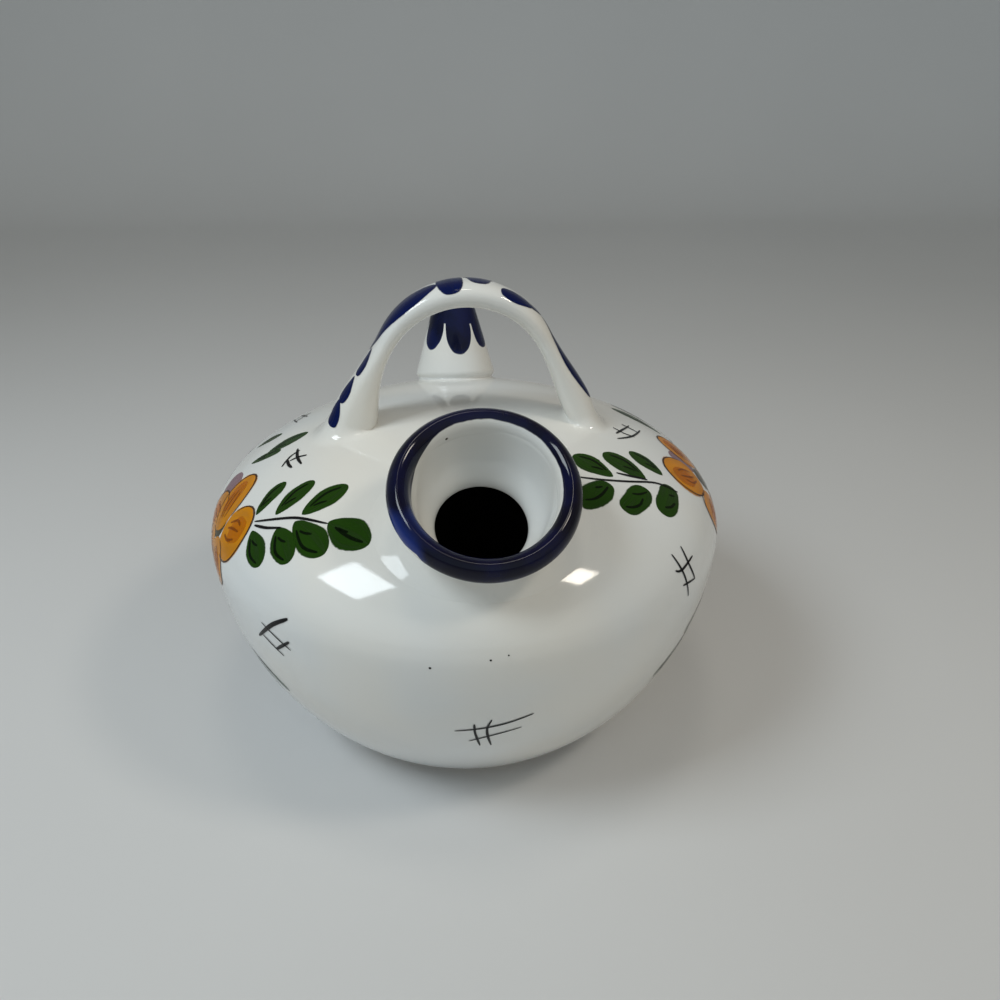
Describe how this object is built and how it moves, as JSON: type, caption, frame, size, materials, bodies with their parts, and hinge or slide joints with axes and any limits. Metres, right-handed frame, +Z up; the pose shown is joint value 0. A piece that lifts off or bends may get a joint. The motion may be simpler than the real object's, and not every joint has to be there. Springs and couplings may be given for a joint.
{
  "type": "double-spout water jug",
  "caption": "Squat glazed jug with a wide leaning mouth to fill it, a narrow conical drinking spout opposite and a strap handle arching over the top.",
  "frame": {"origin": "middle of the foot ring's resting face", "axes": "+Z up, the filling mouth leans towards -Y, the drinking spout leans towards +Y, the handle arches from -X to +X"},
  "size_m": [0.17, 0.1701, 0.148],
  "materials": {
    "white_glaze": "glossy off-white glaze",
    "cobalt_glaze": "glossy deep cobalt glaze",
    "bare_clay": "matt unglazed clay"
  },
  "bodies": {
    "root": {"foot_ring": "bare_clay", "base_disc": "white_glaze", "lower_bowl": "white_glaze", "upper_dome": "white_glaze", "mouth_neck": "white_glaze", "mouth_lip": "cobalt_glaze", "mouth_luting": "white_glaze", "drinking_spout": "white_glaze", "spout_luting": "white_glaze", "handle_strap": "white_glaze", "handle_luting_left": "white_glaze", "handle_luting_right": "white_glaze"}
  },
  "joints": []
}
